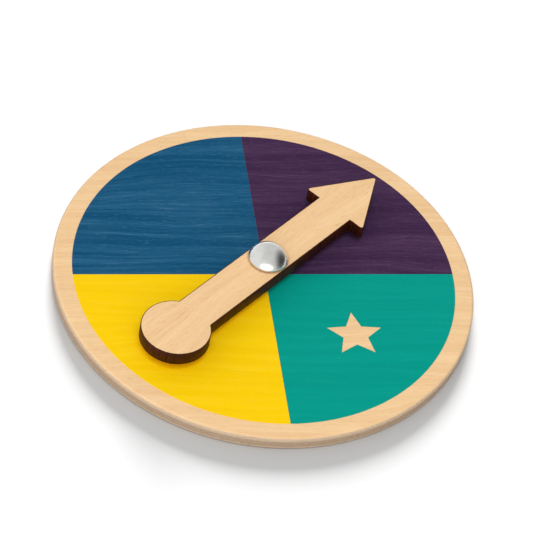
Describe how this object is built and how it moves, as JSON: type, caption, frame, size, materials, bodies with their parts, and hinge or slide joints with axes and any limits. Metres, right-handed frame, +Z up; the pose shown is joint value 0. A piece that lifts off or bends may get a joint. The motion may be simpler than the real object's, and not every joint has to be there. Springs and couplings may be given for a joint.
{
  "type": "game spinner",
  "caption": "Round plywood game spinner: printed colour quarters inside a bare rim, with a wooden arrow that turns freely on a domed metal rivet.",
  "frame": {"origin": "centre of the disc's underside, on the pivot's axis", "axes": "+Z up along the pivot's axis; the printed quarters meet along X and Y, and the wood grain runs along X"},
  "size_m": [0.11, 0.11, 0.014],
  "materials": {
    "board_plywood": "sanded, matt clear coat",
    "ink_blue": "satin printed ink over wood grain",
    "ink_purple": "satin printed ink over wood grain",
    "ink_green": "satin printed ink over wood grain",
    "ink_yellow": "satin printed ink over wood grain",
    "arrow_plywood": "sanded face, burnt laser-cut edges",
    "spacer_plywood": "burnt laser-cut edge",
    "nylon": "natural nylon",
    "sleeve_brass": "bright drawn tube",
    "rivet_nickel": "bright nickel plate",
    "washer_steel": "zinc plated"
  },
  "bodies": {
    "board": {"base_disc": "board_plywood", "print_blue": "ink_blue", "print_purple": "ink_purple", "print_green": "ink_green", "print_yellow": "ink_yellow", "spacer_washer": "spacer_plywood", "lower_slip_washer": "nylon", "pivot_sleeve": "sleeve_brass", "upper_slip_washer": "nylon", "pivot_rivet": "rivet_nickel", "back_washer": "washer_steel"},
    "arrow": {"pointer": "arrow_plywood"}
  },
  "joints": [
    {"name": "pointer_spin", "type": "hinge", "parent": "board", "child": "arrow", "pos_m": [0, 0, 0.0082], "axis": [0, 0, 1], "continuous": true}
  ]
}
